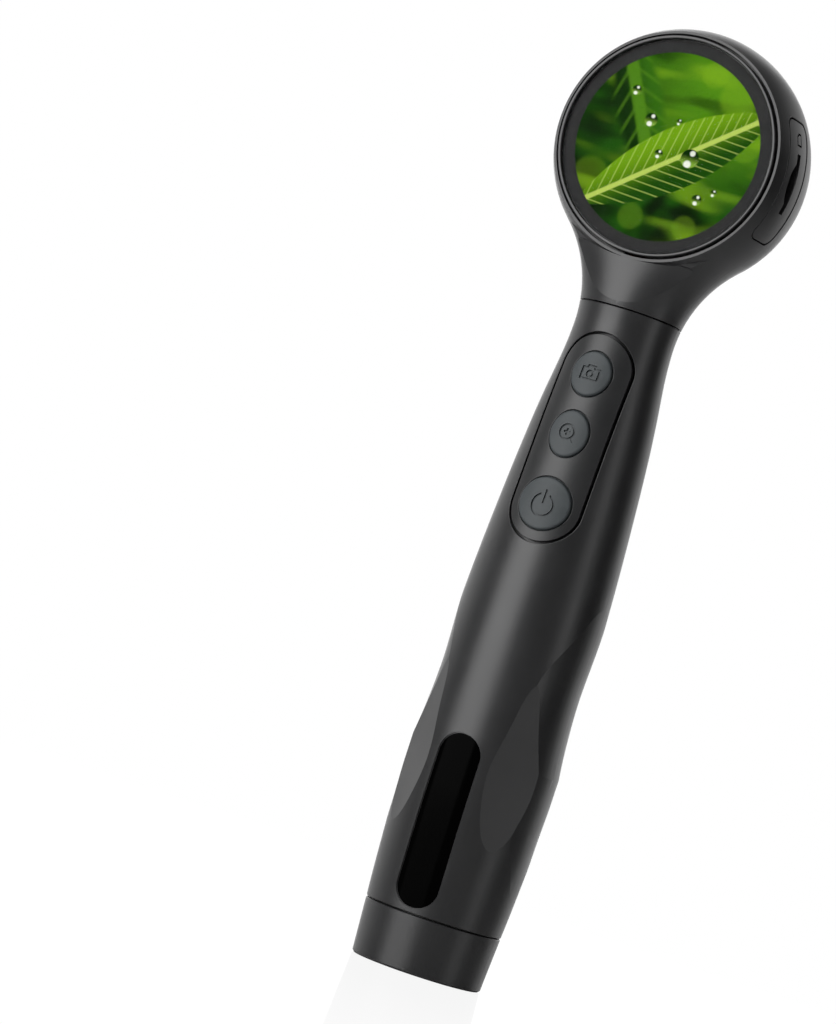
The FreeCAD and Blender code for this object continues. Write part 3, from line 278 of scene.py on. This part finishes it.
# Acrylic, moulded with a frosted skin: milky, so that the lamps behind it show only as soft yellow spots
frostedAcrylic = dict(tint="#eceeef", rough=(0.4, 0.6), ior=1.49, clear=0.75, frost=0.2, bump=0.3,
                      depth=0.02)
material, tree = newMaterial("frostedAcrylic")
place = addNode(tree, "TexCoord").outputs["Object"]
frost = addNode(tree, "TexNoise", {"Vector": place, "Scale": 1 / (frostedAcrylic["frost"] * mm),
                                   "Detail": 3.0})
gloss = addNode(tree, "MapRange", [frost, *noiseRange, *frostedAcrylic["rough"]])
bump = addNode(tree, "Bump", {"Strength": frostedAcrylic["bump"], "Distance": frostedAcrylic["depth"] * mm,
                              "Height": frost})
shader = addNode(tree, "BsdfPrincipled", {"Base Color": linear(frostedAcrylic["tint"]), "Roughness": gloss,
                                          "IOR": frostedAcrylic["ior"],
                                          "Transmission Weight": frostedAcrylic["clear"],
                                          "Normal": bump})
addNode(tree, "OutputMaterial", [shader])
dress(material, "lamp_window")

# Lamp packages, moulded white resin with a yellow phosphor pool on the lamp circle
lampResin = dict(body="#e8e4d6", phosphor="#e6c22e", lampWidth=2.0, pool=0.75, poolEdge=0.1, rough=0.35,
                 ior=1.5)
material, tree = newMaterial("lampResin")
flat = headPlace(tree)
lampLow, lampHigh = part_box("lamps")
lampCircle = (lampHigh.x - lampLow.x) / 2 / mm - lampResin["lampWidth"] / 2
reach = addNode(tree, "VectorMath", [flat], operation="LENGTH").outputs[1]
offset = addNode(tree, "Math", [reach, lampCircle], operation="SUBTRACT")
offset = addNode(tree, "Math", [offset], operation="ABSOLUTE")
poolEnd = lampResin["pool"] - lampResin["poolEdge"]
pool = addNode(tree, "MapRange", [offset, lampResin["pool"], poolEnd, 0.0, 1.0])
colour = addNode(tree, "MixRGB", [pool, linear(lampResin["body"]), linear(lampResin["phosphor"])])
shader = addNode(tree, "BsdfPrincipled", {"Base Color": colour, "Roughness": lampResin["rough"],
                                          "IOR": lampResin["ior"]})
addNode(tree, "OutputMaterial", [shader])
dress(material, "lamps")
print("clear and polished pieces dressed")

# Screen, lit from behind: an invented close-up of two leaves with dew before a soft green garden. Places
# are in millimetres from the middle of the display
screenLook = dict(name="litScreen", off="#050505", deep="#051a02", green="#1b4f07", lime="#528f0e",
                  sun="#86b81e", strength=1.0, clouds=11.0, sunPlace=(9.0, 0, 14.0), sunReach=(3.0, 27.0),
                  streakTurn=35, streakSize=(0.05, 1, 0.2))
softSpots = [(12.0, 13.5, 5.0, 0.35), (5.5, 17.0, 3.4, 0.3), (16.5, 4.0, 3.8, 0.28),
             (-14.5, -9.5, 4.4, 0.2), (-3.0, -16.0, 3.2, 0.18),
             (9.0, -15.5, 3.0, 0.2)]                                    # x, z, radius, strength
leaves = [dict(x=-9.0, z=7.5, turn=62.0, half=19.0, wide=5.2, blur=0.55, shade="#0c2c04", light="#336c0b",
               vein="#538a18", veinGap=4.2, veinWidth=0.9),
          dict(x=2.5, z=-2.0, turn=-38.0, half=23.5, wide=6.6, blur=0.05, shade="#1a4a07", light="#74a814",
               vein="#c6dd66", veinGap=2.6, veinWidth=0.34)]
dew = dict(shade="#0c2c05", light="#86b13a", lowGlow="#fbfff2", lowPlace=(-0.1, 0, -0.62),
           lowSize=(0.5, 0.25), glint="#f4f9ea", glintPlace=(0.15, 0, 0.55), glintSize=(0.36, 0.2))
drops = [(-5.2, 4.6, 1.5), (-1.3, -1.9, 1.0), (5.6, -1.2, 2.1), (9.8, -9.2, 1.2), (0.9, 5.6, 0.7),
         (12.9, -6.9, 0.8), (-10.3, 9.9, 1.1)]                          # x, z, radius

material, tree = newMaterial(screenLook["name"])
flat = headPlace(tree)

# Background: dark and green clouds, a sunny corner, and slanting streaks that lighten and darken them
clouds = addNode(tree, "TexNoise", {"Vector": flat, "Scale": 1 / screenLook["clouds"], "Detail": 1.0,
                                    "Distortion": 0.6})
streakTurn = (0, math.radians(screenLook["streakTurn"]), 0)
streaks = addNode(tree, "Mapping", {"Vector": flat, "Rotation": streakTurn,
                                    "Scale": screenLook["streakSize"]})
streaks = addNode(tree, "TexNoise", {"Vector": streaks, "Scale": 1.0, "Detail": 1.0})
away = addNode(tree, "VectorMath", [flat, screenLook["sunPlace"]], operation="DISTANCE").outputs[1]
sunny = addNode(tree, "MapRange", [away, *screenLook["sunReach"], 1.0, 0.0], **soft)
tone = addNode(tree, "MapRange", [clouds, 0.35, 0.62, 0.0, 1.0], **soft)
picture = addNode(tree, "MixRGB", [tone, linear(screenLook["deep"]), linear(screenLook["green"])])
picture = addNode(tree, "MixRGB", [sunny, picture, linear(screenLook["lime"])])
tone = addNode(tree, "MapRange", [streaks, 0.5, 0.72, 0.0, 0.55], **soft)
picture = addNode(tree, "MixRGB", [tone, picture, linear(screenLook["sun"])])
tone = addNode(tree, "MapRange", [streaks, 0.45, 0.3, 0.0, 0.6], **soft)
picture = addNode(tree, "MixRGB", [tone, picture, linear(screenLook["deep"])])
for x, z, radius, strength in softSpots:
    away = addNode(tree, "VectorMath", [flat, (x, 0, z)], operation="DISTANCE").outputs[1]
    spot = addNode(tree, "MapRange", [away, radius, radius * 0.7, 0.0, strength], **soft)
    picture = addNode(tree, "MixRGB", [spot, picture, linear(screenLook["sun"])])

# Leaves: a pointed outline on a straight midrib, lit on one side, with slanting ribs
for leaf in leaves:
    turn = (0, math.radians(leaf["turn"]), 0)
    local = addNode(tree, "Mapping", {"Vector": flat, "Location": (leaf["x"], 0, leaf["z"]),
                                      "Rotation": turn}, vector_type="TEXTURE")
    parts = addNode(tree, "SeparateXYZ", [local])
    along, across = parts.outputs["X"], parts.outputs["Z"]
    share = addNode(tree, "Math", [along, leaf["half"]], operation="DIVIDE")
    share = addNode(tree, "Math", [share, share], operation="MULTIPLY")
    outline = addNode(tree, "Math", [share, -leaf["wide"], leaf["wide"]], operation="MULTIPLY_ADD")
    side = addNode(tree, "Math", [across], operation="ABSOLUTE")
    inside = addNode(tree, "Math", [outline, side], operation="SUBTRACT")
    inside = addNode(tree, "MapRange", [inside, -2 * leaf["blur"], 2 * leaf["blur"], 0.0, 1.0], **soft)
    lit = addNode(tree, "MapRange", [across, -leaf["wide"] * 0.6, leaf["wide"] * 0.8, 0.0, 1.0], **soft)
    blade = addNode(tree, "MixRGB", [lit, linear(leaf["shade"]), linear(leaf["light"])])
    slanted = addNode(tree, "Math", [side, -1.1, along], operation="MULTIPLY_ADD")
    rib = addNode(tree, "Math", [slanted, leaf["veinGap"] / 2], operation="PINGPONG")
    rib = addNode(tree, "MapRange", [rib, 0.0, leaf["veinWidth"], 0.55, 0.0], **soft)
    blade = addNode(tree, "MixRGB", [rib, blade, linear(leaf["vein"])])
    midrib = addNode(tree, "MapRange", [side, leaf["veinWidth"], leaf["veinWidth"] * 2, 0.9, 0.0], **soft)
    blade = addNode(tree, "MixRGB", [midrib, blade, linear(leaf["vein"])])
    picture = addNode(tree, "MixRGB", [inside, picture, blade])

# Drops: dark above and light below, with a glow low down and a glint high up. Their places are in radii
for x, z, radius in drops:
    unit = addNode(tree, "Mapping", {"Vector": flat, "Location": (x, 0, z), "Scale": (radius, 1, radius)},
                   vector_type="TEXTURE")
    away = addNode(tree, "VectorMath", [unit], operation="LENGTH").outputs[1]
    disc = addNode(tree, "MapRange", [away, 1.0, 0.9, 0.0, 1.0])
    height = addNode(tree, "SeparateXYZ", [unit]).outputs["Z"]
    body = addNode(tree, "MapRange", [height, 0.4, -0.7, 0.0, 1.0], **soft)
    water = addNode(tree, "MixRGB", [body, linear(dew["shade"]), linear(dew["light"])])
    away = addNode(tree, "VectorMath", [unit, dew["lowPlace"]], operation="DISTANCE").outputs[1]
    shine = addNode(tree, "MapRange", [away, *dew["lowSize"], 0.0, 1.0], **soft)
    water = addNode(tree, "MixRGB", [shine, water, linear(dew["lowGlow"])])
    away = addNode(tree, "VectorMath", [unit, dew["glintPlace"]], operation="DISTANCE").outputs[1]
    shine = addNode(tree, "MapRange", [away, *dew["glintSize"], 0.0, 0.95], **soft)
    water = addNode(tree, "MixRGB", [shine, water, linear(dew["glint"])])
    picture = addNode(tree, "MixRGB", [disc, picture, water])
shader = addNode(tree, "BsdfPrincipled", {"Base Color": linear(screenLook["off"]), "Roughness": 0.5,
                                          "Specular IOR Level": 0.0, "Emission Color": picture,
                                          "Emission Strength": screenLook["strength"]})
addNode(tree, "OutputMaterial", [shader])
dress(material, "lcd_panel")
print("screen drawn")

# Floor: a polished white table top. To the camera it goes over into plain white away from the object
tableTop = dict(half=30.0, colour="#eeeeee", rough=(0.02, 0.08), ior=1.49, haze=33.3, near=0.9,
                fade=(0.05, 0.4))
mesh = bpy.data.meshes.new("tableTop")
shape = bmesh.new()
bmesh.ops.create_grid(shape, x_segments=8, y_segments=8, size=tableTop["half"])
shape.to_mesh(mesh)
shape.free()
floor = bpy.data.objects.new("tableTop", mesh)
bpy.context.scene.collection.objects.link(floor)
material, tree = newMaterial("polishedWhiteAcrylic")
place = addNode(tree, "TexCoord").outputs["Object"]
haze = addNode(tree, "TexNoise", {"Vector": place, "Scale": 1 / (tableTop["haze"] * mm), "Detail": 2.0})
gloss = addNode(tree, "MapRange", [haze, *noiseRange, *tableTop["rough"]])
acrylic = addNode(tree, "BsdfPrincipled", {"Base Color": linear(tableTop["colour"]), "Roughness": gloss,
                                           "IOR": tableTop["ior"]})
white = addNode(tree, "Emission", {"Color": (1, 1, 1, 1), "Strength": 1.0})
reach = addNode(tree, "VectorMath", [place], operation="LENGTH").outputs[1]
share = addNode(tree, "MapRange", [reach, *tableTop["fade"], tableTop["near"], 1.0])
seen = addNode(tree, "LightPath").outputs["Is Camera Ray"]
share = addNode(tree, "Math", [seen, share], operation="MULTIPLY")
addNode(tree, "OutputMaterial", [addNode(tree, "MixShader", [share, acrylic, white])])
floor.data.materials.append(material)

# Camera, set to the photograph's view: it looks slightly up and leans to one side
view = dict(azimuth=22.328, elevation=-2.05, roll=18.222, distance=0.854452, slide=-0.029457,
            height=0.091142, lens=143.61)
azimuth, elevation, roll = (math.radians(view[k]) for k in ("azimuth", "elevation", "roll"))
back = Vector((math.sin(azimuth) * math.cos(elevation), -math.cos(azimuth) * math.cos(elevation),
               math.sin(elevation)))
level = Vector((math.cos(azimuth), math.sin(azimuth), 0))
upright = back.cross(level)
right = level * math.cos(roll) + upright * math.sin(roll)
up = upright * math.cos(roll) - level * math.sin(roll)
camera = bpy.data.objects.new("camera", bpy.data.cameras.new("camera"))
camera.data.lens = view["lens"]
axes = Matrix((right, up, back)).transposed().to_4x4()
camera.matrix_world = Matrix.Translation(level * view["slide"] + Vector((0, 0, view["height"]))
                                         + back * view["distance"]) @ axes
bpy.context.scene.collection.objects.link(camera)
bpy.context.scene.camera = camera

# Softboxes: a wide one at the left for the long highlight, a strip at the right for the narrow one, and one
# straight behind the object that lights its back. Sizes are in metres, and an azimuth of 0 is in front
softboxes = [dict(name="keySoftbox", azimuth=-24.0, height=0.16, distance=0.75, width=0.62, tall=1.5,
                  radiance=4.2),
             dict(name="fillStrip", azimuth=80.0, height=0.14, distance=0.8, width=0.22, tall=1.3,
                  radiance=1.9),
             dict(name="rearSoftbox", azimuth=202.0, height=0.25, distance=0.9, width=0.5, tall=1.3,
                  radiance=1.0)]
for box in softboxes:
    lamp = bpy.data.lights.new(box["name"], "AREA")
    lamp.shape = "RECTANGLE"
    lamp.size, lamp.size_y = box["width"], box["tall"]
    lamp.energy = box["radiance"] * math.pi * box["width"] * box["tall"]
    turn = math.radians(box["azimuth"])
    stand = bpy.data.objects.new(box["name"], lamp)
    away = Vector((math.sin(turn), -math.cos(turn), 0))
    stand.location = away * box["distance"] + Vector((0, 0, box["height"]))
    stand.rotation_euler = away.to_track_quat("Z", "Y").to_euler()
    bpy.context.scene.collection.objects.link(stand)

# Studio walls: pale behind the object and dim on the camera's side, with a black flag at the right and a
# dark ceiling. The camera itself sees plain white. Limits are cosines of angles, and for the ceiling sines
studio = dict(front=0.18, rear=1.1, start=0.05, full=-0.55, flagAzimuth=104.0, flagCore=0.88,
              flagEdge=0.66, ceiling=(0.3, 0.75), above=0.2)
world = bpy.data.worlds.new("studio")
world.use_nodes = True
tree = world.node_tree
tree.nodes.clear()
direction = addNode(tree, "TexCoord").outputs["Generated"]
facing = addNode(tree, "VectorMath", [direction, tuple(back)], operation="DOT_PRODUCT").outputs[1]
wall = addNode(tree, "MapRange", [facing, studio["start"], studio["full"], studio["front"],
                                  studio["rear"]], **soft)
turn = math.radians(studio["flagAzimuth"])
toFlag = (math.sin(turn), -math.cos(turn), 0)
facing = addNode(tree, "VectorMath", [direction, toFlag], operation="DOT_PRODUCT").outputs[1]
flag = addNode(tree, "MapRange", [facing, studio["flagEdge"], studio["flagCore"], 1.0, 0.0], **soft)
height = addNode(tree, "SeparateXYZ", [direction]).outputs["Z"]
ceiling = addNode(tree, "MapRange", [height, *studio["ceiling"], 1.0, studio["above"]], **soft)
wall = addNode(tree, "Math", [wall, flag], operation="MULTIPLY")
wall = addNode(tree, "Math", [wall, ceiling], operation="MULTIPLY")
seen = addNode(tree, "LightPath").outputs["Is Camera Ray"]
strength = addNode(tree, "MixRGB", [seen, wall, (1, 1, 1, 1)])
glow = addNode(tree, "Background", [(1, 1, 1, 1), strength])
addNode(tree, "OutputWorld", [glow])
bpy.context.scene.world = world
bpy.context.scene.view_settings.view_transform = "Standard"
print("floor, camera and lights set")
